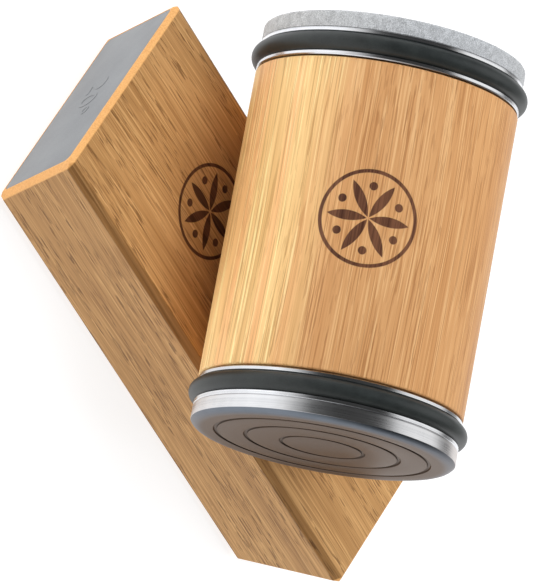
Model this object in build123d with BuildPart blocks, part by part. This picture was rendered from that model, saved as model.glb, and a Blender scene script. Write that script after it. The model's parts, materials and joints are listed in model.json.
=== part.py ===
# Rolling knife sharpener: an oak angle block with magnetic ends, and the roller that lies across it.
# Millimetres. +Z is up, the block stands on Z = 0, and its long axis lies along X.

from build123d import *
import math
import os

os.makedirs("parts", exist_ok=True)

# Fits shared by several pieces
seat_clearance = 0.02       # a piece pressed or glued in its seat
running_clearance = 0.06    # a piece that slides or turns in its seat
cut_overrun = 1.0           # how far a cut runs past the face it opens

# Block
block_length = 128.0        # the long face, on top
block_width = 50.0
block_height = 26.5
coarse_lean = 20.0          # degrees from upright, end at -X
fine_lean = 15.0            # degrees from upright, end at +X
long_edge_chamfer = 1.4
end_chamfer = 1.3

# Pads in the block's ends, and the magnets behind them
pad_rim = 0.2               # wood between the end chamfer and the pad
pad_thickness = 1.5
pad_corner_round = 1.6
block_magnet_diameter = 9.0
block_magnet_length = 5.0
block_magnet_column_pitch = 11.5
block_magnet_row_pitch = 11.0
block_magnet_margin = 3.4   # least wood between a magnet and the end face's edge

# Anti-slip pad under the block
base_pad_margin = 8.0       # from the underside's edges
base_pad_thickness = 1.8
base_pad_stand = 0.8        # how far it stands out of the underside
base_pad_corner_round = 4.0

# Where the roller lies on the block
roller_yaw = 119.3          # degrees from +X to the grinding end
roller_x = -10.1
roller_y = 4.9
rest_gap = 0.1

# Barrel and its metal core
barrel_diameter = 57.0      # the hubs and discs are as wide
barrel_length = 67.6
barrel_wall = 6.5
barrel_edge_break = 0.4
core_wall = 1.6
carrier_inset = 0.8         # from the barrel's end face to the carrier's
carrier_rim_thickness = 2.0
carrier_shoulder = 1.5
carrier_shoulder_lap = 1.4  # how far the shoulder covers the outer race

# Ball bearing, 8 x 22 x 7
bearing_bore = 8.0
bearing_outside = 22.0
bearing_width = 7.0
race_wall = 1.8
ball_diameter = 3.97
ball_count = 7
ball_play = 0.05
cage_width = 5.0
cage_thickness = 1.4
cage_pocket_clearance = 0.1

# Circlip that holds the bearing in its carrier
circlip_thickness = 1.0
circlip_width = 1.6
circlip_grip = 0.6
circlip_cover = 0.6
circlip_opening = 5.0

# Axle
axle_middle_diameter = 11.0
axle_end_gap = 0.4          # the washer clamps the hub, not the axle

# Hub
running_gap = 0.35          # between the barrel's end and the flange
flange_thickness = 1.0
lip_thickness = 1.1
hub_boss_diameter = 11.0
hub_recess_diameter = 22.0
hub_edge_break = 0.2

# Tyre
tyre_seat_depth = 2.5       # from the flange's rim down to the seat
tyre_stand = 1.5            # from the flange's rim up to the crown
tyre_width = 4.1

# Screw and washer in each hub
screw_diameter = 4.0
screw_length = 12.0
screw_hole_spare = 1.5
screw_head_diameter = 8.0
screw_head_height = 1.6
screw_head_gap = 0.4        # between the head and the disc's spigot
screw_key_size = 2.5
screw_key_depth = 1.0
washer_diameter = 14.0
washer_thickness = 0.8

# Magnets and drive pins in each hub
hub_magnet_diameter = 8.0
hub_magnet_length = 2.5
hub_magnet_count = 6
hub_magnet_place_share = 8 / 15     # of the way from the recess out to the tyre's seat
hub_magnet_sink = 0.1
drive_pin_diameter = 3.0
drive_pin_length = 5.0
drive_pin_stand = 1.2
drive_pin_spare = 0.3
drive_pin_count = 2

# Discs
disc_spigot_depth = 1.2
grinding_disc_thickness = 3.7
abrasive_thickness = 0.6
abrasive_edge_round = 0.5
honing_band_width = 2.8
honing_bevel_width = 1.15
honing_bevel_inset = 0.9
outer_groove_inset = 4.6    # from the honing face's edge
middle_groove_inset = 6.5   # from the outer groove
inner_groove_inset = 7.65   # from the middle groove
groove_width = 0.8
groove_depth = 0.4

# The block's underside and top
block_bottom = base_pad_stand
block_top = block_bottom + block_height
coarse_setback = block_height * math.tan(math.radians(coarse_lean))
fine_setback = block_height * math.tan(math.radians(fine_lean))
underside_start = -block_length / 2 + coarse_setback
underside_end = block_length / 2 - fine_setback
block_ends = (("20", -1, coarse_lean), ("15", 1, fine_lean))


def slope_length(lean):
    """Length of an end face, measured down its slope."""
    return block_height / math.cos(math.radians(lean))


def end_face_plane(side, lean):
    """The plane of one end face, with its normal pointing out of the block."""
    turn_down = math.radians(lean)
    half_slope = slope_length(lean) / 2
    centre_x = side * (block_length / 2 - half_slope * math.sin(turn_down))
    centre_z = block_top - half_slope * math.cos(turn_down)
    normal = (side * math.cos(turn_down), 0, -math.sin(turn_down))
    return Plane(origin=(centre_x, 0, centre_z), x_dir=(0, 1, 0), z_dir=normal)


def pad_size(lean):
    """Width and height of the recess for the pad in one end face."""
    border = 2 * (end_chamfer + pad_rim)
    return block_width - border, slope_length(lean) - border


def magnet_places(lean):
    """A grid of as many magnet places as one end face has room for."""
    taken = 2 * block_magnet_margin + block_magnet_diameter
    columns = 1 + max(0, int((block_width - taken) // block_magnet_column_pitch))
    rows = 1 + max(0, int((slope_length(lean) - taken) // block_magnet_row_pitch))
    return GridLocations(block_magnet_column_pitch, block_magnet_row_pitch, columns, rows)


base_pad_length = underside_end - underside_start - 2 * base_pad_margin
base_pad_width = block_width - 2 * base_pad_margin
underside_middle = (underside_start + underside_end) / 2
base_pad_recess = base_pad_thickness - base_pad_stand

# The oak block: a trapezoid drawn from the side, with a recess and magnet holes in each end
with BuildPart() as block_body:
    with BuildSketch(Plane.XZ):
        with BuildLine():
            Polyline(
                (-block_length / 2, block_top),
                (block_length / 2, block_top),
                (underside_end, block_bottom),
                (underside_start, block_bottom),
                close=True,
            )
        make_face()
    extrude(amount=block_width / 2, both=True)
    for end in (0, -1):
        chamfer(block_body.faces().sort_by(Axis.X)[end].edges(), end_chamfer)
    chamfer(block_body.edges().filter_by(Axis.X), long_edge_chamfer)
    for tag, side, lean in block_ends:
        recess_width, recess_height = pad_size(lean)
        with BuildSketch(end_face_plane(side, lean)):
            RectangleRounded(recess_width, recess_height, pad_corner_round)
        extrude(amount=-pad_thickness, mode=Mode.SUBTRACT)
        with BuildSketch(end_face_plane(side, lean).offset(-pad_thickness)):
            with magnet_places(lean):
                Circle(block_magnet_diameter / 2 + seat_clearance)
        extrude(amount=-block_magnet_length, mode=Mode.SUBTRACT)
    with BuildSketch(Plane.XY.offset(block_bottom)):
        with Locations((underside_middle, 0)):
            RectangleRounded(base_pad_length, base_pad_width, base_pad_corner_round)
    extrude(amount=base_pad_recess, mode=Mode.SUBTRACT)
block_body.part.label = "block_body"
export_step(block_body.part, "parts/block_body.step")

# The anti-slip pad that the block stands on
with BuildPart() as base_pad:
    with BuildSketch(Plane.XY):
        with Locations((underside_middle, 0)):
            RectangleRounded(
                base_pad_length - 2 * seat_clearance,
                base_pad_width - 2 * seat_clearance,
                base_pad_corner_round - seat_clearance,
            )
    extrude(amount=base_pad_thickness)
base_pad.part.label = "base_pad"
export_step(base_pad.part, "parts/base_pad.step")

# The pad in each end face lies flush with it, and the magnets lie right behind the pad
for tag, side, lean in block_ends:
    recess_width, recess_height = pad_size(lean)
    with BuildPart() as pad:
        with BuildSketch(end_face_plane(side, lean)):
            RectangleRounded(
                recess_width - 2 * seat_clearance,
                recess_height - 2 * seat_clearance,
                pad_corner_round - seat_clearance,
            )
        extrude(amount=-pad_thickness)
    pad.part.label = "pad_" + tag
    export_step(pad.part, "parts/pad_" + tag + ".step")

    with BuildPart() as magnets:
        with BuildSketch(end_face_plane(side, lean).offset(-pad_thickness)):
            with magnet_places(lean):
                Circle(block_magnet_diameter / 2)
        extrude(amount=-block_magnet_length)
    magnets.part.label = "magnets_" + tag
    export_step(magnets.part, "parts/magnets_" + tag + ".step")

# Widths and depths that follow the barrel and the bearing
barrel_bore = barrel_diameter - 2 * barrel_wall
inner_race_outside = bearing_bore + 2 * race_wall
outer_race_inside = bearing_outside - 2 * race_wall
tyre_seat_diameter = barrel_diameter - 2 * tyre_seat_depth
tyre_diameter = barrel_diameter + 2 * tyre_stand
hub_magnet_circle = hub_recess_diameter + hub_magnet_place_share * (tyre_seat_diameter - hub_recess_diameter)
hub_recess_depth = washer_thickness + screw_head_height + screw_head_gap + disc_spigot_depth

# Stations along the roller's axis, measured from its middle out to each end
barrel_end = barrel_length / 2
carrier_face = barrel_end - carrier_inset
core_end = carrier_face - carrier_rim_thickness
circlip_face = carrier_face - circlip_cover
bearing_face = circlip_face - circlip_thickness
bearing_middle = bearing_face - bearing_width / 2
bearing_back = bearing_face - bearing_width
carrier_back = bearing_back - carrier_shoulder
hub_inner_face = barrel_end + running_gap
tyre_start = hub_inner_face + flange_thickness
tyre_end = tyre_start + tyre_width
hub_outer_face = tyre_end + lip_thickness
recess_floor = hub_outer_face - hub_recess_depth
axle_end = recess_floor - axle_end_gap
washer_face = recess_floor + washer_thickness
screw_head_face = washer_face + screw_head_height
magnet_face = hub_outer_face - hub_magnet_sink
spigot_face = hub_outer_face - disc_spigot_depth
pin_face = hub_outer_face + drive_pin_stand
grinding_face = hub_outer_face + grinding_disc_thickness
honing_band_end = hub_outer_face + honing_band_width
honing_face = honing_band_end + honing_bevel_width

# The roller rests on its barrel where both tyres hang clear of the block's long edges, and otherwise on the tyres
yaw = math.radians(roller_yaw)
barrel_reach = barrel_diameter / 2 + rest_gap
tyre_half_chord = math.sqrt(max(tyre_diameter ** 2 / 4 - barrel_reach ** 2, 0))
tyre_edge_reach = tyre_start * math.sin(yaw) - abs(roller_y) - tyre_half_chord * abs(math.cos(yaw))
tyres_hang_clear = tyre_edge_reach > block_width / 2
rest_diameter = barrel_diameter if tyres_hang_clear else max(tyre_diameter, barrel_diameter)
roller_z = block_top + rest_gap + rest_diameter / 2

roller_centre = Vector(roller_x, roller_y, roller_z)
roller_direction = Vector(math.cos(yaw), math.sin(yaw), 0)
roller_axis = Axis(roller_centre, roller_direction)
roller_ends = (("grind", 1), ("hone", -1))


def section_plane(side):
    """A plane through the axis: its x runs out to one end, and its y is the radius, straight up."""
    outward = roller_direction * side
    return Plane(origin=roller_centre, x_dir=outward, z_dir=outward.cross(Vector(0, 0, 1)))


def face_plane(side, station):
    """A plane square to the axis at a station, facing out to one end."""
    outward = roller_direction * side
    return Plane(origin=roller_centre + outward * station, x_dir=(0, 0, 1), z_dir=outward)


def turn(side, start, end, inside, outside, mode=Mode.ADD):
    """Turn a plain ring about the roller's axis, between two stations and two diameters."""
    with BuildSketch(section_plane(side)) as section:
        with Locations(((start + end) / 2, (inside + outside) / 4)):
            Rectangle(end - start, (outside - inside) / 2)
    revolve(section.sketch, axis=roller_axis, mode=mode)


# The oak barrel, bored through for its core
with BuildPart() as barrel:
    turn(1, -barrel_end, barrel_end, barrel_bore, barrel_diameter)
    barrel_rims = barrel.edges().filter_by(GeomType.CIRCLE).group_by(SortBy.RADIUS)[-1]
    chamfer(barrel_rims, barrel_edge_break)
barrel.part.label = "barrel"
export_step(barrel.part, "parts/barrel.step")

# The aluminium tube glued in the barrel
core_diameter = barrel_bore - 2 * seat_clearance
core_bore = core_diameter - 2 * core_wall
with BuildPart() as core_tube:
    turn(1, -core_end, core_end, core_bore, core_diameter)
core_tube.part.label = "core_tube"
export_step(core_tube.part, "parts/core_tube.step")

# The axle: a thick middle between the bearings, and a thinner end through each bearing and hub
axle_diameter = bearing_bore - 2 * seat_clearance
screw_hole_end = recess_floor - screw_length - screw_hole_spare
with BuildPart() as axle:
    turn(1, -axle_end, axle_end, 0, axle_diameter)
    turn(1, -bearing_back, bearing_back, 0, axle_middle_diameter)
    for tag, side in roller_ends:
        turn(side, screw_hole_end, axle_end + cut_overrun, 0, screw_diameter, Mode.SUBTRACT)
axle.part.label = "axle"
export_step(axle.part, "parts/axle.step")

carrier_diameter = core_bore - 2 * seat_clearance
circlip_groove_diameter = bearing_outside + 2 * circlip_grip + 2 * seat_clearance
circlip_diameter = bearing_outside + 2 * circlip_grip
circlip_inside = circlip_diameter - 2 * circlip_width
ball_pitch_diameter = (inner_race_outside + outer_race_inside) / 2
ball_path_radius = ball_diameter / 2 + ball_play
hub_bore = axle_diameter + 2 * seat_clearance
tyre_inside = tyre_seat_diameter + 2 * seat_clearance
tyre_bead = tyre_width / 2

# Everything that each end of the roller has
for tag, side in roller_ends:
    # Bearing carrier: its rim sits on the core tube's end, its shoulder stops the outer race
    with BuildPart() as carrier:
        turn(side, core_end, carrier_face, bearing_outside, core_diameter)
        turn(side, carrier_back, carrier_face, bearing_outside, carrier_diameter)
        turn(side, carrier_back, bearing_back, bearing_outside - 2 * carrier_shoulder_lap, carrier_diameter)
        turn(
            side,
            bearing_back,
            carrier_face + cut_overrun,
            0,
            bearing_outside + 2 * seat_clearance,
            Mode.SUBTRACT,
        )
        turn(side, bearing_face, circlip_face, 0, circlip_groove_diameter, Mode.SUBTRACT)
    carrier.part.label = "carrier_" + tag
    export_step(carrier.part, "parts/carrier_" + tag + ".step")

    # Circlip: a flat spring ring, open at the top, in the carrier's groove
    with BuildPart() as circlip:
        turn(side, bearing_face, circlip_face, circlip_inside, circlip_diameter)
        with BuildSketch(face_plane(side, bearing_face)):
            with Locations((circlip_diameter / 2, 0)):
                Rectangle(circlip_diameter / 2, circlip_opening)
        extrude(amount=circlip_thickness, mode=Mode.SUBTRACT)
    circlip.part.label = "circlip_" + tag
    export_step(circlip.part, "parts/circlip_" + tag + ".step")

    # Bearing rings, each with its ball groove
    with BuildPart() as outer_race:
        turn(side, bearing_back, bearing_face, outer_race_inside, bearing_outside)
        with BuildSketch(section_plane(side)):
            with Locations((bearing_middle, ball_pitch_diameter / 2)):
                Circle(ball_path_radius)
        revolve(axis=roller_axis, mode=Mode.SUBTRACT)
    outer_race.part.label = "outer_race_" + tag
    export_step(outer_race.part, "parts/outer_race_" + tag + ".step")

    with BuildPart() as inner_race:
        turn(side, bearing_back, bearing_face, bearing_bore, inner_race_outside)
        with BuildSketch(section_plane(side)):
            with Locations((bearing_middle, ball_pitch_diameter / 2)):
                Circle(ball_path_radius)
        revolve(axis=roller_axis, mode=Mode.SUBTRACT)
    inner_race.part.label = "inner_race_" + tag
    export_step(inner_race.part, "parts/inner_race_" + tag + ".step")

    # Balls, and the cage ring that spaces them
    with BuildPart() as balls:
        with Locations(face_plane(side, bearing_middle)):
            with PolarLocations(ball_pitch_diameter / 2, ball_count):
                Sphere(ball_diameter / 2)
    balls.part.label = "balls_" + tag
    export_step(balls.part, "parts/balls_" + tag + ".step")

    with BuildPart() as cage:
        turn(
            side,
            bearing_middle - cage_width / 2,
            bearing_middle + cage_width / 2,
            ball_pitch_diameter - cage_thickness,
            ball_pitch_diameter + cage_thickness,
        )
        with Locations(face_plane(side, bearing_middle)):
            with PolarLocations(ball_pitch_diameter / 2, ball_count):
                Cylinder(
                    ball_diameter / 2 + cage_pocket_clearance,
                    cage_thickness + 2 * cut_overrun,
                    rotation=(0, 90, 0),
                    mode=Mode.SUBTRACT,
                )
    cage.part.label = "cage_" + tag
    export_step(cage.part, "parts/cage_" + tag + ".step")

    # Hub: flange, tyre seat and lip, a boss against the inner race, a recess for screw and disc spigot
    with BuildPart() as hub:
        turn(side, hub_inner_face, tyre_start, hub_bore, barrel_diameter)
        turn(side, tyre_start, tyre_end, hub_bore, tyre_seat_diameter)
        turn(side, tyre_end, hub_outer_face, hub_bore, barrel_diameter)
        turn(side, bearing_face, hub_inner_face, hub_bore, hub_boss_diameter)
        turn(side, recess_floor, hub_outer_face + cut_overrun, 0, hub_recess_diameter, Mode.SUBTRACT)
        hub_rims = hub.edges().filter_by(GeomType.CIRCLE).group_by(SortBy.RADIUS)[-1]
        chamfer(hub_rims, hub_edge_break)
        with BuildSketch(face_plane(side, hub_outer_face)):
            with PolarLocations(hub_magnet_circle / 2, hub_magnet_count):
                Circle(hub_magnet_diameter / 2 + seat_clearance)
        extrude(amount=-hub_magnet_length - hub_magnet_sink, mode=Mode.SUBTRACT)
        with BuildSketch(face_plane(side, hub_outer_face)):
            with PolarLocations(hub_magnet_circle / 2, drive_pin_count, start_angle=180 / hub_magnet_count):
                Circle(drive_pin_diameter / 2 + seat_clearance)
        extrude(amount=drive_pin_stand - drive_pin_length, mode=Mode.SUBTRACT)
    hub.part.label = "hub_" + tag
    export_step(hub.part, "parts/hub_" + tag + ".step")

    # Tyre: a rubber ring with a round crown, stretched into the hub's seat
    with BuildPart() as tyre:
        crown_height = (tyre_diameter - tyre_inside) / 2 - tyre_bead
        with BuildSketch(section_plane(side)):
            with Locations((tyre_start + tyre_bead, tyre_inside / 2 + crown_height / 2)):
                Rectangle(tyre_width, crown_height)
            with Locations((tyre_start + tyre_bead, tyre_inside / 2 + crown_height)):
                Circle(tyre_bead)
        revolve(axis=roller_axis)
        turn(side, tyre_start, tyre_end, 0, tyre_inside, Mode.SUBTRACT)
    tyre.part.label = "tyre_" + tag
    export_step(tyre.part, "parts/tyre_" + tag + ".step")

    # Washer and socket screw that clamp the hub on the axle
    with BuildPart() as washer:
        turn(side, recess_floor, washer_face, screw_diameter + 2 * running_clearance, washer_diameter)
    washer.part.label = "washer_" + tag
    export_step(washer.part, "parts/washer_" + tag + ".step")

    with BuildPart() as screw:
        turn(side, washer_face - screw_length, washer_face, 0, screw_diameter - 2 * seat_clearance)
        turn(side, washer_face, screw_head_face, 0, screw_head_diameter)
        with BuildSketch(face_plane(side, screw_head_face)):
            RegularPolygon(screw_key_size / 2, 6, major_radius=False)
        extrude(amount=-screw_key_depth, mode=Mode.SUBTRACT)
    screw.part.label = "screw_" + tag
    export_step(screw.part, "parts/screw_" + tag + ".step")

    # Magnets that hold the disc, just below the hub's face
    with BuildPart() as hub_magnets:
        with BuildSketch(face_plane(side, magnet_face)):
            with PolarLocations(hub_magnet_circle / 2, hub_magnet_count):
                Circle(hub_magnet_diameter / 2)
        extrude(amount=-hub_magnet_length)
    hub_magnets.part.label = "hub_magnets_" + tag
    export_step(hub_magnets.part, "parts/hub_magnets_" + tag + ".step")

    # Pins that drive the disc
    with BuildPart() as drive_pins:
        with BuildSketch(face_plane(side, pin_face)):
            with PolarLocations(hub_magnet_circle / 2, drive_pin_count, start_angle=180 / hub_magnet_count):
                Circle(drive_pin_diameter / 2)
        extrude(amount=-drive_pin_length)
    drive_pins.part.label = "drive_pins_" + tag
    export_step(drive_pins.part, "parts/drive_pins_" + tag + ".step")

disc_diameter = barrel_diameter
spigot_diameter = hub_recess_diameter - 2 * running_clearance
plate_diameter = disc_diameter - 2 * abrasive_thickness - 2 * seat_clearance
plate_face = grinding_face - abrasive_thickness

# Steel core of the grinding disc, with a spigot that centres it in the hub
with BuildPart() as grinding_plate:
    turn(1, hub_outer_face, plate_face, 0, plate_diameter)
    turn(1, spigot_face, hub_outer_face, 0, spigot_diameter)
    with BuildSketch(face_plane(1, hub_outer_face)):
        with PolarLocations(hub_magnet_circle / 2, drive_pin_count, start_angle=180 / hub_magnet_count):
            Circle(drive_pin_diameter / 2 + running_clearance)
    extrude(amount=drive_pin_stand + drive_pin_spare, mode=Mode.SUBTRACT)
grinding_plate.part.label = "grinding_plate"
export_step(grinding_plate.part, "parts/grinding_plate.step")

# Abrasive layer over the plate's face and rim
with BuildPart() as abrasive_coat:
    turn(1, hub_outer_face, grinding_face, 0, disc_diameter)
    coat_rims = abrasive_coat.edges().filter_by(GeomType.CIRCLE).sort_by(roller_axis)[-1]
    fillet(coat_rims, abrasive_edge_round)
    turn(1, hub_outer_face, plate_face, 0, disc_diameter - 2 * abrasive_thickness, Mode.SUBTRACT)
abrasive_coat.part.label = "abrasive_coat"
export_step(abrasive_coat.part, "parts/abrasive_coat.step")

# Honing disc: a steel disc with a bevelled rim and three turned grooves
honing_face_diameter = disc_diameter - 2 * honing_bevel_inset
outer_groove_diameter = honing_face_diameter - 2 * outer_groove_inset
middle_groove_diameter = outer_groove_diameter - 2 * middle_groove_inset
inner_groove_diameter = middle_groove_diameter - 2 * inner_groove_inset
with BuildPart() as honing_disc:
    with BuildSketch(section_plane(-1)):
        with BuildLine():
            Polyline(
                (spigot_face, 0),
                (spigot_face, spigot_diameter / 2),
                (hub_outer_face, spigot_diameter / 2),
                (hub_outer_face, disc_diameter / 2),
                (honing_band_end, disc_diameter / 2),
                (honing_face, honing_face_diameter / 2),
                (honing_face, 0),
                close=True,
            )
        make_face()
    revolve(axis=roller_axis)
    for groove_diameter in (outer_groove_diameter, middle_groove_diameter, inner_groove_diameter):
        turn(
            -1,
            honing_face - groove_depth,
            honing_face + cut_overrun,
            groove_diameter - groove_width,
            groove_diameter + groove_width,
            Mode.SUBTRACT,
        )
    with BuildSketch(face_plane(-1, hub_outer_face)):
        with PolarLocations(hub_magnet_circle / 2, drive_pin_count, start_angle=180 / hub_magnet_count):
            Circle(drive_pin_diameter / 2 + running_clearance)
    extrude(amount=drive_pin_stand + drive_pin_spare, mode=Mode.SUBTRACT)
honing_disc.part.label = "honing_disc"
export_step(honing_disc.part, "parts/honing_disc.step")
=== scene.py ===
# Looks of the rolling knife sharpener: an oak angle block, and the roller held across it.
# Sizes in the sections are in millimetres, as in the workshop drawing. Blender works in metres.
import json
import math

import bmesh
import bpy
from mathutils import Matrix, Vector


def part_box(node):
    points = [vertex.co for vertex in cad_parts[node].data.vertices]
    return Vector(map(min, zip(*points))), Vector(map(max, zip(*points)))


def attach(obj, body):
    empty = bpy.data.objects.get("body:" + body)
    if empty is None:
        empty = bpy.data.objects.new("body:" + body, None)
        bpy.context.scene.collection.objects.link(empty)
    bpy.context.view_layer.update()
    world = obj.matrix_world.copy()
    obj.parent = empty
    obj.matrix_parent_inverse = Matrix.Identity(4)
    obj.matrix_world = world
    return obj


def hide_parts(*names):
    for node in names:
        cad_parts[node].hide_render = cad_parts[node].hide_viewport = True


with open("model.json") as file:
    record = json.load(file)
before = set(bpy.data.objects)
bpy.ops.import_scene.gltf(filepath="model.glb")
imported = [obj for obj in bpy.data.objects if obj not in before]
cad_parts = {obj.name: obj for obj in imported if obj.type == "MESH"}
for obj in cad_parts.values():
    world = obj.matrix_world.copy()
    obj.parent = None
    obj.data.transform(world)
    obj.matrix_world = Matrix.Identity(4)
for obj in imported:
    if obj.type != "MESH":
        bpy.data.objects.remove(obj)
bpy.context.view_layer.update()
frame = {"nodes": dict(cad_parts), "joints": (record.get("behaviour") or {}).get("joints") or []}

MM = 0.001
scene = bpy.context.scene
scene.view_settings.view_transform = "Standard"
nodes = frame["nodes"]

# Camera.
# It stands a metre and a half off the block's long side, looks down on it, and is turned on its side,
# so that the block stands on its lower end in the picture.
camera_aim = Vector((-7.425, -6.244, 36.8)) * MM
camera_distance = 1510.52 * MM
camera_azimuth, camera_drop, camera_roll = (math.radians(angle) for angle in (44.184, 40.181, -89.738))
forward = Vector((
    math.sin(camera_azimuth) * math.cos(camera_drop),
    math.cos(camera_azimuth) * math.cos(camera_drop),
    -math.sin(camera_drop),
))
level_right = forward.cross(Vector((0, 0, 1))).normalized()
level_up = level_right.cross(forward)
picture_up = level_up * math.cos(camera_roll) + level_right * math.sin(camera_roll)
picture_right = forward.cross(picture_up)
camera_data = bpy.data.cameras.new("camera")
camera_data.sensor_fit = "VERTICAL"
camera_data.sensor_height = 24
camera_data.lens = 288.93
camera_data.clip_start = 0.01
camera = bpy.data.objects.new("camera", camera_data)
scene.collection.objects.link(camera)
camera.matrix_world = (
    Matrix.Translation(camera_aim - forward * camera_distance)
    @ Matrix((picture_right, picture_up, -forward)).transposed().to_4x4()
)
scene.camera = camera


# Studio.
# A wide white floor that keeps a faint shadow, and a white room. Mirrors see a bright floor, a darker
# wall behind the camera and a bright panel overhead. A soft lamp stands low by the block's upper end,
# a second one leans over that end, one hangs above and one stands behind.
def colour(red, green, blue):
    """A colour of a picture, 0 to 255, as the linear colour that a socket takes."""
    parts = [value / 255 for value in (red, green, blue)]
    return [p / 12.92 if p <= 0.04045 else ((p + 0.055) / 1.055) ** 2.4 for p in parts] + [1]


def put(tree, kind, inputs=(), **settings):
    """Add a node: settings are its own, inputs are values for its sockets or the sockets that feed them."""
    node = tree.nodes.new(kind)
    for name, value in settings.items():
        setattr(node, name, value)
    feed(tree, node, inputs)
    return node


def feed(tree, node, inputs):
    """Set or link a node's inputs, each given by name or number."""
    for key, value in dict(inputs).items():
        if isinstance(value, bpy.types.NodeSocket):
            tree.links.new(value, node.inputs[key])
        else:
            node.inputs[key].default_value = value


def sum_of(tree, operation, *values, clamp=False):
    """One step of arithmetic on numbers or sockets."""
    return put(tree, "ShaderNodeMath", enumerate(values), operation=operation, use_clamp=clamp).outputs[0]


def gate(tree, value, start, end, low=0.0, high=1.0):
    """Go softly from low, where value is below start, to high, where it is above end."""
    values = {0: value, 1: start, 2: end, 3: low, 4: high}
    return put(tree, "ShaderNodeMapRange", values, interpolation_type="SMOOTHSTEP").outputs[0]


def reach_along(tree, vector, axis):
    """How far a vector reaches along an axis."""
    return put(tree, "ShaderNodeVectorMath", {0: vector, 1: axis}, operation="DOT_PRODUCT").outputs["Value"]


ambient_level, horizon_level, wall_level, panel_level = 0.26, 0.95, 0.05, 1.15
panel_toward = Vector((0.41, 0.48, 0.78)).normalized()
far_toward, far_share = (0.87, 0.49, 0), 0.45
room = bpy.data.worlds.new("room")
room.use_nodes = True
scene.world = room
tree = room.node_tree
tree.nodes.clear()
ray = put(tree, "ShaderNodeLightPath").outputs
direction = put(tree, "ShaderNodeTexCoord").outputs["Generated"]
height = put(tree, "ShaderNodeSeparateXYZ", {0: direction}).outputs[2]
panel = gate(tree, reach_along(tree, direction, panel_toward), 0.80, 0.95, 0, panel_level)
horizon = gate(tree, reach_along(tree, direction, far_toward), 0.3, 0.8, 1.0, far_share)
wall = gate(tree, height, 0.02, 0.45, horizon_level, wall_level)
mirrored = sum_of(tree, "MAXIMUM", sum_of(tree, "MULTIPLY", wall, horizon), panel)
mirrored_gain = sum_of(tree, "SUBTRACT", mirrored, ambient_level)
level = sum_of(tree, "MULTIPLY_ADD", ray["Is Glossy Ray"], mirrored_gain, ambient_level)
seen = sum_of(tree, "MAXIMUM", ray["Is Camera Ray"], ray["Is Transmission Ray"])
level = sum_of(tree, "MAXIMUM", level, seen)
sky = put(tree, "ShaderNodeBackground", {"Color": (1, 1, 1, 1), "Strength": level})
put(tree, "ShaderNodeOutputWorld", {"Surface": sky.outputs[0]})

# The floor lies a hair below the base pad, so that the two faces don't share one plane
floor_reach = 12.0
floor_level = -0.02 * MM
floor_sides = ((-1, -1), (1, -1), (1, 1), (-1, 1))
floor_corners = [(x * floor_reach, y * floor_reach, floor_level) for x, y in floor_sides]
floor_mesh = bpy.data.meshes.new("floor")
floor_mesh.from_pydata(floor_corners, [], [(0, 1, 2, 3)])
floor = bpy.data.objects.new("floor", floor_mesh)
scene.collection.objects.link(floor)
floor_finish = bpy.data.materials.new("floor_white")
floor_finish.use_nodes = True
tree = floor_finish.node_tree
tree.nodes.clear()
ray = put(tree, "ShaderNodeLightPath").outputs
seen = sum_of(tree, "MAXIMUM", ray["Is Camera Ray"], ray["Is Transmission Ray"])
glow_seen, glow_mirrored, glow_felt = 0.82, 0.95, 1.05
glow = sum_of(tree, "MULTIPLY_ADD", seen, glow_seen - glow_felt, glow_felt)
glow = sum_of(tree, "MULTIPLY_ADD", ray["Is Glossy Ray"], glow_mirrored - glow_felt, glow)
glow = put(tree, "ShaderNodeEmission", {"Strength": glow})
matt_share = 0.32
matt = put(tree, "ShaderNodeBsdfDiffuse", {"Color": [matt_share] * 3 + [1]})
both = put(tree, "ShaderNodeAddShader", {0: glow.outputs[0], 1: matt.outputs[0]})
put(tree, "ShaderNodeOutputMaterial", {"Surface": both.outputs[0]})
floor_mesh.materials.append(floor_finish)


def hang_lamp(name, direction, level, distance=1.1, size=0.7, tint=(1, 1, 1)):
    """A square lamp that lights a white face turned to it at this level, where 1 shows white as white."""
    data = bpy.data.lights.new(name, "AREA")
    data.size = size
    data.color = tint
    data.energy = level * (math.pi * distance) ** 2
    lamp = bpy.data.objects.new(name, data)
    scene.collection.objects.link(lamp)
    toward = Vector(direction).normalized()
    facing = toward.to_track_quat("Z", "Y").to_matrix().to_4x4()
    lamp.matrix_world = Matrix.Translation(camera_aim + toward * distance) @ facing
    lamp.visible_glossy = False


hang_lamp("key_lamp", (-0.75, -0.65, 0.10), 0.22, distance=0.6, size=0.4)
hang_lamp("top_lamp", (-0.15, 0.05, 1.0), 0.50, tint=(0.94, 1.0, 1.10))
hang_lamp("end_lamp", (-0.60, 0.50, 0.60), 0.40, tint=(0.94, 1.0, 1.10))
hang_lamp("back_lamp", (0.75, 0.25, 0.60), 0.42)


# Angle block.
# A solid piece of oiled oak, sawn to two fixed angles. Its long edges are chamfered and darkened by painted
# shade, its end edges are chamfered across the grain. A rosette is branded on its top.
def start_group(name, inputs, outputs):
    """A node group with these named inputs and outputs."""
    group = bpy.data.node_groups.new(name, "ShaderNodeTree")
    for label, kind, value in inputs:
        socket = group.interface.new_socket(label, in_out="INPUT", socket_type="NodeSocket" + kind)
        if value is not None:
            socket.default_value = value
    for label, kind in outputs:
        group.interface.new_socket(label, in_out="OUTPUT", socket_type="NodeSocket" + kind)
    return group, group.nodes.new("NodeGroupInput").outputs, group.nodes.new("NodeGroupOutput")


def vector_step(tree, operation, *values):
    """One step of arithmetic on vectors."""
    return put(tree, "ShaderNodeVectorMath", enumerate(values), operation=operation).outputs[0]


def length_of(tree, x, y):
    """How far a place is from the origin of a plane."""
    vector = put(tree, "ShaderNodeCombineXYZ", {0: x, 1: y}).outputs[0]
    return put(tree, "ShaderNodeVectorMath", {0: vector}, operation="LENGTH").outputs["Value"]


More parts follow.
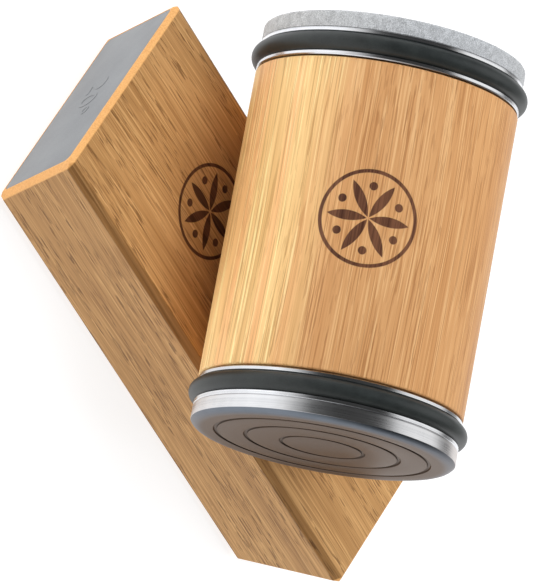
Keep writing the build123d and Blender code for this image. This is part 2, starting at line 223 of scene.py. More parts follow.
def noise(tree, vector, *lengths, shift=0.0, detail=0.0, roughness=0.5, output=0):
    """Noise whose cells have these lengths along the three directions. A shift gives another pattern."""
    cells = vector_step(tree, "MULTIPLY_ADD", vector, [1 / length for length in lengths], [shift] * 3)
    values = {"Vector": cells, "Scale": 1.0, "Detail": detail, "Roughness": roughness}
    return put(tree, "ShaderNodeTexNoise", values).outputs[output]


def weigh(tree, start, *parts):
    """Add up parts, each a socket and its weight."""
    total = start
    for socket, weight in parts:
        total = sum_of(tree, "MULTIPLY_ADD", socket, weight, total)
    return total


def mix(tree, share, first, second, blend="MIX"):
    """Blend two colours."""
    values = {0: share, 6: first, 7: second}
    return put(tree, "ShaderNodeMix", values, data_type="RGBA", blend_type=blend).outputs[2]


def ramp(tree, value, *stops):
    """Colours at these places, with straight blends between them."""
    node = put(tree, "ShaderNodeValToRGB", {0: value})
    while len(node.color_ramp.elements) < len(stops):
        node.color_ramp.elements.new(0.5)
    for element, (place, tint) in zip(node.color_ramp.elements, stops):
        element.position = place
        element.color = tint
    return node.outputs[0]


# Oak, with its grain along X: rings about a heart far outside the piece, fine light and dark lines,
# and open pores that show as short dashes, gathered where the wood grew early in the year
oak_grain, given, result = start_group(
    "oak_grain",
    [("Place", "Vector", None), ("Heart Y", "Float", 60.0), ("Heart Z", "Float", -40.0)],
    [(label, "Float") for label in ("Tone", "Dark Lines", "Light Lines", "Pores", "Height", "From Heart")],
)
g = oak_grain
drift = noise(g, given["Place"], 60, 30, 30, output=1)
drift = vector_step(g, "SUBTRACT", drift, (0.5, 0.5, 0.5))
sway = 2.5
place = vector_step(g, "MULTIPLY_ADD", drift, (0, sway, sway), given["Place"])
across = put(g, "ShaderNodeSeparateXYZ", {0: place}).outputs
out_y = sum_of(g, "SUBTRACT", across[1], given["Heart Y"])
out_z = sum_of(g, "SUBTRACT", across[2], given["Heart Z"])
from_heart = length_of(g, out_y, out_z)
ring_pitch = 2.6
ring_values = {"W": sum_of(g, "DIVIDE", from_heart, ring_pitch), "Scale": 1.0, "Detail": 2.0}
rings = put(g, "ShaderNodeTexNoise", ring_values, noise_dimensions="1D").outputs[0]
broad = noise(g, place, 170, 9, 9, detail=1.0)
streaks = noise(g, place, 70, 1.2, 1.2, shift=7.3, detail=1.0)
fibres = noise(g, place, 30, 0.34, 0.34, shift=3.1, detail=1.0, roughness=0.6)
dark_lines = gate(g, noise(g, place, 24, 0.32, 0.32, shift=11.7), 0.61, 0.66)
light_lines = gate(g, noise(g, place, 40, 0.38, 0.38, shift=23.9), 0.61, 0.68)
early_wood = weigh(g, 0.0, (noise(g, place, 36, 2.2, 2.2, shift=5.7), 0.65), (rings, 0.35))
clusters = gate(g, early_wood, 0.46, 0.58)
dashes = gate(g, noise(g, place, 4.6, 0.30, 0.30, shift=31.3), 0.60, 0.66)
pores = sum_of(g, "MULTIPLY", dashes, clusters)
tone = weigh(g, -0.75, (broad, 0.8), (rings, 0.40), (streaks, 0.50), (fibres, 0.8))
depth = weigh(g, 0.6, (pores, -0.6), (fibres, 0.35), (dark_lines, -0.25))
layers = {"Dark Lines": dark_lines, "Light Lines": light_lines, "Pores": pores}
feed(g, result, {"Tone": tone, "Height": depth, "From Heart": from_heart, **layers})

# The burnt mark: six leaves drawn with a compass in a ring, with a bead between each two
rosette, given, result = start_group(
    "burnt_rosette",
    [("Across", "Float", 0.0), ("Along", "Float", 0.0), ("Radius", "Float", 10.5)],
    [("Mark", "Float")],
)
g = rosette
share = sum_of(g, "DIVIDE", length_of(g, given["Across"], given["Along"]), given["Radius"])
soft = 0.008
ring_share = 0.925
inside_ring = gate(g, share, 1 - soft, 1 + soft, 1, 0)
ring_mark = sum_of(g, "MULTIPLY", gate(g, share, ring_share - soft, ring_share + soft), inside_ring)
turn = sum_of(g, "ARCTAN2", given["Along"], given["Across"])
sixth = math.pi / 3


def folded(tree, turn, share, offset):
    """Fold the disc into one sixth and give the place there: along the sixth's middle, and off it."""
    off = sum_of(tree, "PINGPONG", sum_of(tree, "ADD", turn, offset), sixth / 2)
    return (sum_of(tree, "MULTIPLY", share, sum_of(tree, "COSINE", off)),
            sum_of(tree, "MULTIPLY", share, sum_of(tree, "SINE", off)))


def apart(tree, place, centre):
    """How far a place is from a centre."""
    values = {0: put(tree, "ShaderNodeCombineXYZ", enumerate(place)).outputs[0], 1: (*centre, 0)}
    return put(tree, "ShaderNodeVectorMath", values, operation="DISTANCE").outputs["Value"]


leaf_radius, leaf_fill, bead_reach, bead_radius = 0.86, 0.985, 0.66, 0.085
leaf_centre = (leaf_radius / 2, -leaf_radius * math.sin(sixth))
leaf_gap = apart(g, folded(g, turn, share, 0.0), leaf_centre)
leaf_edge = leaf_radius * leaf_fill
leaves = gate(g, leaf_gap, leaf_edge - soft, leaf_edge + soft, 1, 0)
bead_gap = apart(g, folded(g, turn, share, sixth / 2), (bead_reach, 0))
beads = gate(g, bead_gap, bead_radius - soft, bead_radius + soft, 1, 0)
marks = sum_of(g, "MAXIMUM", ring_mark, sum_of(g, "MAXIMUM", leaves, beads))
feed(g, result, {"Mark": marks})


def new_finish(name, **values):
    """A material with one principled shader, whose plain values are set on the shader itself."""
    finish = bpy.data.materials.new(name)
    finish.use_nodes = True
    tree = finish.node_tree
    tree.nodes.clear()
    shader = put(tree, "ShaderNodeBsdfPrincipled")
    for label, value in values.items():
        shader.inputs[label.replace("_", " ")].default_value = value
    put(tree, "ShaderNodeOutputMaterial", {"Surface": shader.outputs[0]})
    return finish, tree, shader


def in_millimetres(tree, vector):
    """A vector in metres as millimetres."""
    return put(tree, "ShaderNodeVectorMath", {0: vector, "Scale": 1 / MM}, operation="SCALE").outputs[0]


def piece_place(tree):
    """The place on a piece, in the shared frame, in millimetres."""
    return in_millimetres(tree, put(tree, "ShaderNodeTexCoord").outputs["Object"])


def raise_surface(tree, shader, height, distance):
    """Bump by a height from 0 to 1 that stands this many millimetres high."""
    bump = put(tree, "ShaderNodeBump", {"Height": height, "Distance": distance * MM, "Strength": 1.0})
    feed(tree, shader, {"Normal": bump.outputs[0]})


def dress(node, finish):
    """Give a CAD piece a finish."""
    nodes[node].data.materials.clear()
    nodes[node].data.materials.append(finish)


def oak_colours(tree, grain, mark, tints, line_colours, line_shares, burnt):
    """The wood's colour from its grain, and over it the brand, which lets the grain through."""
    wood = ramp(tree, grain["Tone"], *zip((0.0, 0.33, 0.66, 1.0), tints))
    for layer, tint, share in zip(("Light Lines", "Dark Lines", "Pores"), line_colours, line_shares):
        wood = mix(tree, sum_of(tree, "MULTIPLY", grain[layer], share), wood, tint)
    char = mix(tree, gate(tree, grain["Tone"], 0.2, 0.8), burnt[0], burnt[1])
    return mix(tree, mark, wood, char)


def in_drawing(node):
    """The lowest and highest corners of a CAD piece, in millimetres."""
    return (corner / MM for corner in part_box(node))


block_low, block_high = in_drawing("block_body")
block_half_length, edge_chamfer, end_chamfer = 64.0, 1.4, 1.3
block_middle, block_half_height = (block_low.z + block_high.z) / 2, (block_high.z - block_low.z) / 2
block_oak, tree, shader = new_finish("block_oak", Specular_IOR_Level=0.3)
place = piece_place(tree)
heart = {"Heart Y": 55.0, "Heart Z": -60.0}
grain = put(tree, "ShaderNodeGroup", {"Place": place, **heart}, node_tree=oak_grain).outputs
spot = put(tree, "ShaderNodeSeparateXYZ", {0: place}).outputs
brand_x, brand_y, brand_radius = -25.1, 0.7, 10.4
brand = put(tree, "ShaderNodeGroup", {
    "Across": sum_of(tree, "SUBTRACT", spot[0], brand_x),
    "Along": sum_of(tree, "SUBTRACT", spot[1], brand_y),
    "Radius": brand_radius,
}, node_tree=rosette).outputs[0]
brand = sum_of(tree, "MULTIPLY", brand, gate(tree, spot[2], block_high.z - 0.1, block_high.z - 0.05))
# The block's oak tints are darker than the barrel's: painted shade, for the same wood in less light
wood = oak_colours(
    tree, grain, brand,
    [colour(157, 112, 64), colour(179, 133, 81), colour(195, 148, 94), colour(212, 166, 109)],
    [colour(226, 180, 120), colour(138, 94, 50), colour(106, 69, 36)], (0.45, 0.45, 0.65),
    (colour(58, 32, 18), colour(100, 62, 40)),
)
# Painted shade: the wood along the long chamfered edges is darkened, as shade on the turning edge
off_side = sum_of(tree, "ABSOLUTE", spot[1])
off_middle = sum_of(tree, "ABSOLUTE", sum_of(tree, "SUBTRACT", spot[2], block_middle))
off_corner = weigh(tree, -block_high.y - block_half_height, (off_side, 1.0), (off_middle, 1.0))
long_edge_shade_mask = gate(tree, off_corner, -edge_chamfer - 0.30, -edge_chamfer - 0.02)
edge_shade_tint, edge_shade_share = colour(200, 190, 176), 0.9
edge_shaded_wood = mix(tree, 1.0, wood, edge_shade_tint, "MULTIPLY")
wood = mix(tree, sum_of(tree, "MULTIPLY", long_edge_shade_mask, edge_shade_share), wood, edge_shaded_wood)
# The end chamfers get end-grain speckle in a lighter orange than the wood: the speckle is the grain, the
# lighter colour a painted highlight
for side, lean in ((-1, 20), (1, 15)):
    lean = math.radians(lean)
    face = (side * math.cos(lean), 0, -math.sin(lean))
    chamfer_start = side * block_half_length * face[0] + block_high.z * face[2] - end_chamfer
    chamfered = gate(tree, reach_along(tree, place, face), chamfer_start - 0.25, chamfer_start + 0.2)
    speckle = noise(tree, place, 0.35, 0.35, 0.35, detail=1.0)
    end_grain_highlight = ramp(tree, speckle, (0.3, colour(230, 165, 97)), (0.7, colour(244, 185, 115)))
    wood = mix(tree, chamfered, wood, end_grain_highlight)
feed(tree, shader, {"Base Color": wood, "Roughness": weigh(tree, 0.5, (grain["Tone"], 0.12))})
raise_surface(tree, shader, weigh(tree, grain["Height"], (brand, -0.8)), 0.06)
dress("block_body", block_oak)


# Block magnets.
# Nickel-plated neodymium discs, glued into blind holes behind each pad, where they hold the blade.
def speckled_metal(name, dark, light, roughness, spread=0.08, cell=0.8):
    """Plain plated or ground metal, slightly uneven."""
    finish, tree, shader = new_finish(name, Metallic=1.0)
    patches = noise(tree, piece_place(tree), cell, cell, cell, detail=3.0)
    feed(tree, shader, {
        "Base Color": ramp(tree, patches, (0.3, colour(*dark)), (0.7, colour(*light))),
        "Roughness": weigh(tree, roughness - spread / 2, (patches, spread)),
    })
    raise_surface(tree, shader, patches, 0.01)
    return finish


nickel = speckled_metal("nickel_plate", (168, 164, 156), (206, 202, 194), 0.24)
for tag in ("20", "15"):
    dress("magnets_" + tag, nickel)

# Blade pads.
# Moulded grey rubber plates, 1.5 mm thick with a softly rounded rim, glued flush into the block's ends.
# The angle of the end stands on each pad in thin raised figures.
pad_rubber, tree, shader = new_finish("pad_rubber", Specular_IOR_Level=0.35)
place = piece_place(tree)
cloudy = noise(tree, place, 9, 9, 9, detail=2.0)
pitted = noise(tree, place, 0.28, 0.28, 0.28, detail=1.0)
tint = weigh(tree, 0.0, (cloudy, 0.5), (pitted, 0.5))
feed(tree, shader, {
    "Base Color": ramp(tree, tint, (0.35, colour(134, 135, 136)), (0.65, colour(147, 148, 149))),
    "Roughness": weigh(tree, 0.5, (pitted, 0.2)),
})
raise_surface(tree, shader, pitted, 0.03)


def plain_mesh(piece):
    """Turn an object's modifiers into its mesh."""
    view = bpy.context.evaluated_depsgraph_get()
    finished = bpy.data.meshes.new_from_object(piece.evaluated_get(view), depsgraph=view)
    piece.modifiers.clear()
    piece.data = finished
    finished.name = piece.name


def new_piece(name, mesh):
    """An object at the origin that holds this mesh."""
    piece = bpy.data.objects.new(name, mesh)
    scene.collection.objects.link(piece)
    return piece


def merged_copy(name, node):
    """A copy of a CAD node's mesh with its corners joined and its flat faces whole."""
    mesh = nodes[node].data.copy()
    work = bmesh.new()
    work.from_mesh(mesh)
    bmesh.ops.remove_doubles(work, verts=work.verts, dist=0.001 * MM)
    bmesh.ops.dissolve_limit(work, angle_limit=math.radians(0.5), verts=work.verts, edges=work.edges)
    work.to_mesh(mesh)
    work.free()
    return new_piece(name, mesh)


def round_edges(piece, width, steps=3, angle=40):
    """Round a piece's sharp edges."""
    bevel = piece.modifiers.new("round", "BEVEL")
    bevel.width = width * MM
    bevel.segments = steps
    bevel.limit_method = "ANGLE"
    bevel.angle_limit = math.radians(angle)
    plain_mesh(piece)
    piece.data.shade_smooth()
    piece.data.set_sharp_from_angle(angle=math.radians(35))


def join(name, pieces):
    """One mesh from several pieces."""
    work = bmesh.new()
    for piece in pieces:
        work.from_mesh(piece.data)
        bpy.data.objects.remove(piece)
    mesh = bpy.data.meshes.new(name)
    work.to_mesh(mesh)
    work.free()
    return new_piece(name, mesh)


pad_thickness, pad_rounding = 1.5, 0.3
figure_size, figure_stand, figure_sink = 9.0, 0.10, 0.25
for tag, side in (("20", -1), ("15", 1)):
    lean = math.radians(int(tag))
    outward = Vector((side * math.cos(lean), 0, -math.sin(lean)))
    pad_low, pad_high = in_drawing("pad_" + tag)
    pad = merged_copy("pad_rim_" + tag, "pad_" + tag)
    round_edges(pad, pad_rounding)
    curve = bpy.data.curves.new("figures_" + tag, "FONT")
    curve.body = tag + "\N{DEGREE SIGN}"
    curve.size = figure_size * MM
    curve.align_x = "CENTER"
    curve.align_y = "CENTER"
    curve.extrude = (figure_stand + figure_sink) / 2 * MM
    curve.resolution_u = 6
    text = bpy.data.objects.new("figures_" + tag, curve)
    scene.collection.objects.link(text)
    plain = bpy.data.meshes.new_from_object(text.evaluated_get(bpy.context.evaluated_depsgraph_get()))
    bpy.data.objects.remove(text)
    reading = Vector((0, side, 0))
    turned = Matrix((reading, outward.cross(reading), outward)).transposed().to_4x4()
    figure_middle = (pad_low + pad_high) / 2 + outward * (pad_thickness + figure_stand - figure_sink) / 2
    plain.transform(Matrix.Translation(figure_middle * MM) @ turned)
    figures = new_piece("figures_" + tag, plain)
    grip = join("grip_pad_" + tag, [pad, figures])
    grip.data.materials.append(pad_rubber)
    grip.data.set_sharp_from_angle(angle=math.radians(35))
    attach(grip, "block")
    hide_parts("pad_" + tag)

# Base pad.
# Black anti-slip rubber with fine moulded dimples, let into the block's underside.
base_rubber, tree, shader = new_finish("base_rubber", Specular_IOR_Level=0.4)
place = piece_place(tree)
dimple_pitch = 1.6
cells = vector_step(tree, "MULTIPLY", place, [1 / dimple_pitch] * 3)
grid = {"Vector": cells, "Scale": 1.0, "Randomness": 0.0}
dimples = put(tree, "ShaderNodeTexVoronoi", grid).outputs["Distance"]
dust = noise(tree, place, 3, 3, 3, detail=3.0)
feed(tree, shader, {
    "Base Color": ramp(tree, dust, (0.35, colour(26, 26, 27)), (0.7, colour(46, 46, 46))),
    "Roughness": weigh(tree, 0.55, (dust, 0.25)),
})
raise_surface(tree, shader, gate(tree, dimples, 0.15, 0.45), 0.2)
dress("base_pad", base_rubber)

# Barrel.
# An oak tube, turned with its grain along the roller and bored for its metal core, with softly broken
# edges and the same brand burnt into its side. The hand holds the roller here.
grind_slide = next(joint for joint in frame["joints"] if joint["name"] == "grinding_disc_pull")
spin = next(joint for joint in frame["joints"] if joint["name"] == "roller_spin")
roller_centre = Vector(spin["pos_m"])
roller_direction = Vector(grind_slide["axis"]).normalized()
roller_turn = math.atan2(roller_direction.y, roller_direction.x)


def on_roller(node, side=1):
    """Where a CAD piece starts and ends along the roller, and its least and greatest radius."""
    spots = [(corner.co - roller_centre) / MM for corner in nodes[node].data.vertices]
    stations = [spot.dot(roller_direction) * side for spot in spots]
    radii = [spot.cross(roller_direction).length for spot in spots]
    return [round(value, 3) for value in (min(stations), max(stations), min(radii), max(radii))]


def start_tree(name, inputs):
    """A Geometry Nodes tree with these named inputs, which hands out one piece."""
    tree = bpy.data.node_groups.new(name, "GeometryNodeTree")
    for label, kind in inputs:
        tree.interface.new_socket(label, in_out="INPUT", socket_type="NodeSocket" + kind)
    tree.interface.new_socket("Piece", in_out="OUTPUT", socket_type="NodeSocketGeometry")
    return tree, tree.nodes.new("NodeGroupInput").outputs


def end_tree(tree, body, finish):
    """Make copies real, set the finish and hand out the piece."""
    body = put(tree, "GeometryNodeRealizeInstances", {"Geometry": body}).outputs[0]
    body = put(tree, "GeometryNodeSetMaterial", {"Geometry": body, "Material": finish}).outputs[0]
    put(tree, "NodeGroupOutput", {0: body})
    return tree


def carried(tree, name, kind):
    """A value that the mesh carries under this name."""
    return put(tree, "GeometryNodeInputNamedAttribute", {"Name": name}, data_type=kind).outputs[0]


def lathe_tree():
    """A tree that turns an outline about an axis: x is the radius, y the station along the axis."""
    tree, given = start_tree("turned_piece", [
        ("Outline", "Geometry"), ("Rail Radius", "Float"), ("Facets", "Int"), ("Round Steps", "Int"),
        ("Centre", "Vector"), ("Axis Turn", "Vector"), ("Finish", "Material"),
    ])
    rounding = carried(tree, "rounding", "FLOAT")
    line = put(tree, "GeometryNodeMeshToCurve", {"Mesh": given["Outline"]}).outputs[0]
    corners = {"Curve": line, "Count": given["Round Steps"], "Radius": rounding, "Limit Radius": True}
    line = put(tree, "GeometryNodeFilletCurve", corners, mode="POLY").outputs[0]
    inward = sum_of(tree, "MULTIPLY", given["Rail Radius"], -1)
    inward = put(tree, "ShaderNodeCombineXYZ", {0: inward}).outputs[0]
    line = put(tree, "GeometryNodeSetPosition", {"Geometry": line, "Offset": inward}).outputs[0]
    circle = {"Resolution": given["Facets"], "Radius": given["Rail Radius"]}
    rail = put(tree, "GeometryNodeCurvePrimitiveCircle", circle).outputs[0]
    body = put(tree, "GeometryNodeCurveToMesh", {"Curve": rail, "Profile Curve": line}).outputs[0]
    body = put(tree, "GeometryNodeMergeByDistance", {"Geometry": body, "Distance": 0.002 * MM}).outputs[0]
    placing = {"Geometry": body, "Translation": given["Centre"], "Rotation": given["Axis Turn"]}
    body = put(tree, "GeometryNodeTransform", placing).outputs[0]
    return end_tree(tree, body, given["Finish"])


def run_tree(piece, tree, inputs):
    """Run a Geometry Nodes tree on a piece and keep what it makes as a plain mesh."""
    modifier = piece.modifiers.new(tree.name, "NODES")
    modifier.node_group = tree
    for item in tree.interface.items_tree:
        if item.name in inputs and item.in_out == "INPUT":
            modifier[item.identifier] = inputs[item.name]
    plain_mesh(piece)


turned_piece = lathe_tree()


def turn_on_lathe(name, outline, side, finish, facets=288, round_steps=5):
    """Turn an outline of (radius, station, rounding), drawn anticlockwise, toward one end of the roller."""
    mesh = bpy.data.meshes.new(name)
    count = len(outline)
    closed = outline[0][0] > 0
    edges = [(i, (i + 1) % count) for i in range(count if closed else count - 1)]
    mesh.from_pydata([(radius * MM, station * MM, 0) for radius, station, rounding in outline], edges, [])
    rounding = mesh.attributes.new("rounding", "FLOAT", "POINT")
    rounding.data.foreach_set("value", [corner[2] * MM for corner in outline])
    piece = new_piece(name, mesh)
    axis_turn = (-roller_direction * side).to_track_quat("Z", "Y").to_euler()
    run_tree(piece, turned_piece, {
        "Rail Radius": max(corner[0] for corner in outline) * MM,
        "Facets": facets, "Round Steps": round_steps,
        "Centre": roller_centre, "Axis Turn": axis_turn, "Finish": finish,
    })
    piece.data.shade_smooth()
    piece.data.set_sharp_from_angle(angle=math.radians(28))
    return piece


def roller_place(tree):
    """The place in the roller's own frame, in millimetres: X is the station toward the grinding end."""
    vector = put(tree, "ShaderNodeTexCoord").outputs["Object"]
    values = {"Vector": vector, "Location": roller_centre, "Rotation": (0, 0, roller_turn)}
    return in_millimetres(tree, put(tree, "ShaderNodeMapping", values, vector_type="TEXTURE").outputs[0])


barrel_end, barrel_bore, barrel_radius = on_roller("barrel")[1:]
barrel_oak, tree, shader = new_finish("barrel_oak", Specular_IOR_Level=0.3)
place = roller_place(tree)
# Painted light: the barrel's side toward the low lamp is paler and less saturated, partly a sapwood tone
# and partly a painted highlight and sheen. The heart's place sets where it falls
heart = {"Heart Y": -10.0, "Heart Z": 95.0}
grain = put(tree, "ShaderNodeGroup", {"Place": place, **heart}, node_tree=oak_grain).outputs
pale_side_start, pale_side_full = 86.0, 101.0
sapwood_and_lit_side = gate(tree, grain["From Heart"], pale_side_start, pale_side_full)
spot = put(tree, "ShaderNodeSeparateXYZ", {0: place}).outputs
brand_station, brand_angle, brand_radius = -0.16, math.radians(47.7), 10.6
facing = sum_of(tree, "ARCTAN2", spot[1], spot[2])
brand = put(tree, "ShaderNodeGroup", {
    "Across": sum_of(tree, "MULTIPLY", sum_of(tree, "SUBTRACT", facing, brand_angle), barrel_radius),
    "Along": sum_of(tree, "SUBTRACT", spot[0], brand_station),
    "Radius": brand_radius,
}, node_tree=rosette).outputs[0]
wood = oak_colours(
    tree, grain, brand,
    [colour(182, 127, 75), colour(200, 144, 90), colour(211, 157, 102), colour(226, 175, 120)],
    [colour(234, 188, 132), colour(166, 110, 60), colour(150, 96, 50)], (0.5, 0.6, 0.3),
    (colour(66, 34, 19), colour(116, 74, 49)),
)
pale_lit_wood = mix(tree, 1.0, wood, (1.5, 1.92, 2.08, 1), "MULTIPLY")
pale_lit_wood = mix(tree, 1.0, pale_lit_wood, (0.97, 0.9, 0.8, 1), "DARKEN")
blush = gate(tree, noise(tree, place, 240, 6, 6, shift=2.2), 0.46, 0.60, 0.0, 0.9)
pale_lit_wood = mix(tree, blush, pale_lit_wood, colour(255, 237, 238), "MULTIPLY")
wood = mix(tree, sum_of(tree, "MULTIPLY", sapwood_and_lit_side, sum_of(tree, "SUBTRACT", 1.0, brand)), wood, pale_lit_wood)
feed(tree, shader, {"Base Color": wood, "Roughness": weigh(tree, 0.46, (grain["Tone"], 0.12))})
raise_surface(tree, shader, weigh(tree, grain["Height"], (brand, -0.8)), 0.05)
oak_barrel = turn_on_lathe("oak_barrel", [
    (barrel_bore, -barrel_end, 0.2), (barrel_radius, -barrel_end, 0.45),
    (barrel_radius, barrel_end, 0.45), (barrel_bore, barrel_end, 0.2),
], 1, barrel_oak)
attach(oak_barrel, "barrel")
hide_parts("barrel")

# Barrel core.
# An aluminium tube is glued in the barrel, and a turned carrier in each of its ends holds a ball
# bearing: ground rings, balls in a moulded cage, and a black spring ring over the outer race.
turning_marks, given, result = start_group(
    "turning_marks",
    [("Place", "Vector", None), ("Feed", "Float", 0.22), ("Blotch", "Float", 6.0)],
    [("Lines", "Float"), ("Blotches", "Float")],
)
g = turning_marks
spot = put(g, "ShaderNodeSeparateXYZ", {0: given["Place"]}).outputs
radial = length_of(g, spot[1], spot[2])
track = sum_of(g, "DIVIDE", sum_of(g, "ADD", radial, spot[0]), given["Feed"])
second_track = sum_of(g, "MULTIPLY", sum_of(g, "SUBTRACT", radial, spot[0]), 0.31)
tracks = put(g, "ShaderNodeCombineXYZ", {0: track, 1: second_track}).outputs[0]
groove_values = {"Vector": tracks, "Scale": 1.0, "Detail": 2.0}
grooves = put(g, "ShaderNodeTexNoise", groove_values, noise_dimensions="2D").outputs[0]
cell_values = {0: given["Place"], "Scale": sum_of(g, "DIVIDE", 1.0, given["Blotch"])}
cells = put(g, "ShaderNodeVectorMath", cell_values, operation="SCALE").outputs[0]
blotches = put(g, "ShaderNodeTexNoise", {"Vector": cells, "Scale": 1.0, "Detail": 3.0}).outputs[0]
feed(g, result, {"Lines": grooves, "Blotches": blotches})


def turned_metal(name, dark, light, roughness, line_feed=0.22, line_height=0.012, spread=0.16):
    """Metal with the fine rings that a lathe leaves round the roller's axis."""
    finish, tree, shader = new_finish(name, Metallic=1.0)
    values = {"Place": roller_place(tree), "Feed": line_feed}
    marks = put(tree, "ShaderNodeGroup", values, node_tree=turning_marks).outputs
    shine = weigh(tree, 0.0, (marks["Lines"], 0.6), (marks["Blotches"], 0.4))
    feed(tree, shader, {
        "Base Color": ramp(tree, shine, (0.32, colour(*dark)), (0.68, colour(*light))),
        "Roughness": weigh(tree, roughness - spread / 2, (shine, spread)),
    })
    raise_surface(tree, shader, marks["Lines"], line_height)
    return finish


core_metal = turned_metal("core_metal", (186, 187, 190), (222, 223, 226), 0.34)
bearing_metal = speckled_metal("bearing_metal", (188, 188, 192), (218, 218, 222), 0.16)
spring_black = speckled_metal("spring_black", (62, 62, 66), (98, 98, 102), 0.42)
cage_nylon, tree, shader = new_finish("cage_nylon", Specular_IOR_Level=0.45)
flecks = noise(tree, piece_place(tree), 0.4, 0.4, 0.4, detail=2.0)
feed(tree, shader, {
    "Base Color": ramp(tree, flecks, (0.35, colour(34, 34, 37)), (0.65, colour(54, 54, 57))),
    "Roughness": weigh(tree, 0.36, (flecks, 0.2)),
})
raise_surface(tree, shader, flecks, 0.015)
dress("core_tube", core_metal)
dress("axle", bearing_metal)
for end in ("grind", "hone"):
    dress("carrier_" + end, core_metal)
    dress("circlip_" + end, spring_black)
    dress("cage_" + end, cage_nylon)
    for bearing_part in ("outer_race_", "inner_race_", "balls_"):
        dress(bearing_part + end, bearing_metal)

# Hubs.
# Turned aluminium wheels, polished on the rim: a thin flange next to the barrel, a seat for the tyre,
# and a lip next to the disc. Magnets and two steel pins sit in the face, a screw clamps it on the axle.
hub_metal = turned_metal(
    "hub_metal", (196, 197, 200), (232, 233, 235), 0.20, line_feed=0.16, line_height=0.010,
)
screw_metal = speckled_metal("screw_metal", (128, 128, 132), (166, 166, 170), 0.30)
for end in ("grind", "hone"):
    dress("hub_" + end, hub_metal)
    dress("washer_" + end, screw_metal)
    dress("screw_" + end, screw_metal)
    dress("hub_magnets_" + end, nickel)
    dress("drive_pins_" + end, bearing_metal)

# Tyres.
# Black-green rubber rings with a round crown, stretched into the hubs' seats. They roll on the table.
tyre_start, tyre_end, tyre_inside, tyre_radius = on_roller("tyre_grind")
tyre_bead = (tyre_end - tyre_start) / 2
tyre_rubber, tree, shader = new_finish("tyre_rubber", Specular_IOR_Level=0.44)
place = roller_place(tree)
smears = noise(tree, place, 4, 4, 4, detail=3.0)
dusty = noise(tree, place, 0.25, 0.25, 0.25, detail=1.0)
shade = weigh(tree, 0.0, (smears, 0.6), (dusty, 0.4))
feed(tree, shader, {
    "Base Color": ramp(tree, shade, (0.35, colour(31, 34, 33)), (0.65, colour(46, 50, 48))),
    "Roughness": weigh(tree, 0.34, (smears, 0.12), (dusty, 0.08)),
})
raise_surface(tree, shader, dusty, 0.012)
for end, side in (("grind", 1), ("hone", -1)):
    tyre = turn_on_lathe("rubber_tyre_" + end, [
        (tyre_radius, tyre_start, tyre_bead), (tyre_radius, tyre_end, tyre_bead),
        (tyre_inside, tyre_end, 0.15), (tyre_inside, tyre_start, 0.15),
    ], side, tyre_rubber, facets=320, round_steps=12)
    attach(tyre, "rotor")
    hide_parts("tyre_" + end)

# Grinding disc.
# A turned steel plate that the hub's magnets hold. Nickel with diamond grit is plated over its face and
# rim, pale grey and rough, with a rounded edge.
plate_metal = turned_metal("plate_metal", (150, 150, 152), (190, 190, 192), 0.32)
dress("grinding_plate", plate_metal)

grit_finish, tree, shader = new_finish("diamond_grit", Metallic=0.2)
place = roller_place(tree)
crumbs = noise(tree, place, 0.20, 0.20, 0.20, detail=2.0, roughness=0.8)
clouds = noise(tree, place, 1.3, 1.3, 1.3, detail=2.0)
shine = weigh(tree, 0.0, (crumbs, 0.8), (clouds, 0.2))
grit_tints = (0.34, colour(136, 136, 135)), (0.5, colour(190, 190, 189)), (0.64, colour(226, 226, 225))
feed(tree, shader, {
    "Base Color": ramp(tree, shine, *grit_tints),
    "Roughness": weigh(tree, 0.42, (crumbs, 0.3)),
})
raise_surface(tree, shader, crumbs, 0.10)


def grit_tree():
    """A tree that scatters grains over the faces marked as grit, and keeps the coat under them."""
    tree, given = start_tree("scattered_grit", [
        ("Coat", "Geometry"), ("Grains Per Area", "Float"), ("Grain Radius", "Float"),
        ("Seed", "Int"), ("Finish", "Material"),
    ])
    spread = {
        "Mesh": given["Coat"], "Selection": carried(tree, "grit_face", "BOOLEAN"),
        "Density": given["Grains Per Area"], "Seed": given["Seed"],
    }
    points = put(tree, "GeometryNodeDistributePointsOnFaces", spread).outputs[0]
    octahedron = {"Segments": 4, "Rings": 2, "Radius": given["Grain Radius"]}
    grain = put(tree, "GeometryNodeMeshUVSphere", octahedron).outputs[0]
    any_turn = {1: (6.28, 6.28, 6.28), "Seed": 5}
    turns = put(tree, "FunctionNodeRandomValue", any_turn, data_type="FLOAT_VECTOR").outputs[0]
    sizes = put(tree, "FunctionNodeRandomValue", {2: 0.55, 3: 1.0, "Seed": 9}, data_type="FLOAT").outputs[1]
    scatter = {"Points": points, "Instance": grain, "Rotation": turns, "Scale": sizes}
    scattered = put(tree, "GeometryNodeInstanceOnPoints", scatter).outputs[0]
    both = tree.nodes.new("GeometryNodeJoinGeometry")
    for part in (scattered, given["Coat"]):
        tree.links.new(part, both.inputs[0])
    return end_tree(tree, both.outputs[0], given["Finish"])


grinding_face = on_roller("abrasive_coat")[1]
plate_face, plate_radius = on_roller("grinding_plate")[1::2]
disc_back = on_roller("hub_grind")[1]
grain_radius, grains_per_square_metre = 0.09, 4.0e6
coat_radius, coat_face = barrel_radius - grain_radius, grinding_face - grain_radius
coat = turn_on_lathe("grit_coat", [
    (0, plate_face, 0), (plate_radius, plate_face, 0.05), (plate_radius, disc_back, 0.05),
    (coat_radius, disc_back, 0.05), (coat_radius, coat_face, 0.55), (0, coat_face, 0),
], 1, grit_finish)
grit_face = coat.data.attributes.new("grit_face", "BOOLEAN", "FACE")
for number, face in enumerate(coat.data.polygons):
    local = (face.center - roller_centre) / MM
    station, radius = local.dot(roller_direction), local.cross(roller_direction).length
    on_rim = radius > coat_radius - 0.5 and station > disc_back + 0.1
    grit_face.data[number].value = on_rim or station > coat_face - 0.3
run_tree(coat, grit_tree(), {
    "Grains Per Area": grains_per_square_metre, "Grain Radius": grain_radius * MM,
    "Seed": 3, "Finish": grit_finish,
})
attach(coat, "grinding_disc")
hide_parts("abrasive_coat")

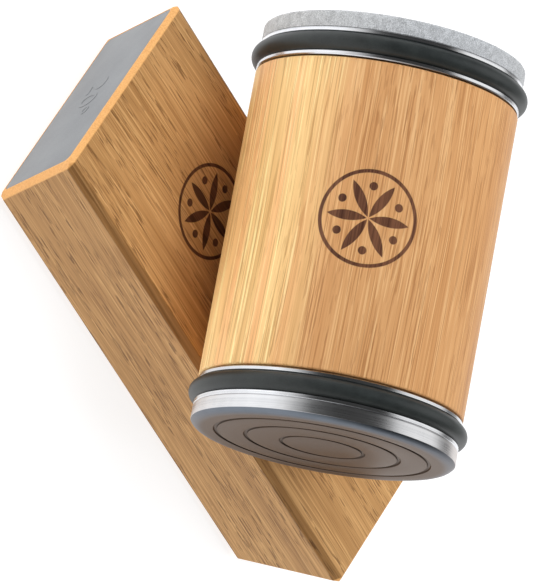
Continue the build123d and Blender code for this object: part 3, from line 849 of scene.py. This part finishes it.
# Honing disc.
# Turned from one piece of steel: a brushed band, a bevel, and a face with three fine round-edged
# grooves. A spigot centres it in the hub, and two blind holes take the hub's pins.
spigot_face, honing_face = on_roller("honing_disc", -1)[:2]
spigot_radius, honing_face_radius, bevel_rounding = 10.94, 27.6, 2.4
band_end = disc_back + 2.8
groove_radii, groove_half, groove_depth = (23.0, 16.5, 8.85), 0.4, 0.4
honing_finish, tree, shader = new_finish("honing_steel", Metallic=1.0, Specular_Tint=(0.86, 0.80, 0.76, 1))
place = roller_place(tree)
marks = put(tree, "ShaderNodeGroup", {"Place": place, "Feed": 0.12}, node_tree=turning_marks).outputs
spot = put(tree, "ShaderNodeSeparateXYZ", {0: place}).outputs
shine = weigh(tree, 0.0, (marks["Lines"], 0.6), (marks["Blotches"], 0.4))
band_colour = ramp(tree, shine, (0.32, colour(196, 197, 199)), (0.68, colour(228, 228, 229)))
# Painted reflection: the steel's bevel is coloured a darker blue-grey and its face a brown-grey, for the
# room and the oak mirrored in them; the warm specular tint adds to it
bevel_reflection_colour = ramp(tree, shine, (0.32, colour(100, 107, 116)), (0.68, colour(122, 129, 138)))
face_reflection_colour = ramp(tree, shine, (0.32, colour(71, 60, 52)), (0.68, colour(87, 75, 66)))
# Painted shade: the grooves are coloured darker than the face, as shade in the hollows
groove_shade_colour = colour(56, 47, 41)
on_bevel = gate(tree, spot[0], -band_end - 0.12, -band_end - 0.02, 1, 0)
radial = length_of(tree, spot[1], spot[2])
face_end, bevel_start = 25.4, 28.1
front_reflection_colour = mix(tree, gate(tree, radial, face_end, bevel_start), face_reflection_colour, bevel_reflection_colour)
metal = mix(tree, on_bevel, band_colour, front_reflection_colour)
for radius in groove_radii:
    off_groove = sum_of(tree, "ABSOLUTE", sum_of(tree, "SUBTRACT", radial, radius))
    groove_width = gate(tree, off_groove, groove_half - 0.08, groove_half + 0.02, 1, 0)
    in_groove = sum_of(tree, "MULTIPLY", on_bevel, groove_width)
    metal = mix(tree, in_groove, metal, groove_shade_colour)
feed(tree, shader, {
    "Base Color": metal,
    "Roughness": weigh(tree, 0.22, (shine, 0.14), (on_bevel, 0.10)),
})
raise_surface(tree, shader, marks["Lines"], 0.010)
outline = [
    (0, spigot_face, 0), (spigot_radius, spigot_face, 0.2),
    (spigot_radius, disc_back, 0.05), (barrel_radius, disc_back, 0.2),
    (barrel_radius, band_end, 0.12), (honing_face_radius, honing_face, bevel_rounding),
]
for radius in groove_radii:
    floor_station = honing_face - groove_depth
    outline += [
        (radius + groove_half, honing_face, 0.14), (radius + groove_half, floor_station, 0.25),
        (radius - groove_half, floor_station, 0.25), (radius - groove_half, honing_face, 0.14),
    ]
outline.append((0, honing_face, 0))
honing_disc = turn_on_lathe("turned_honing_disc", outline, -1, honing_finish)
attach(honing_disc, "honing_disc")
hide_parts("honing_disc")
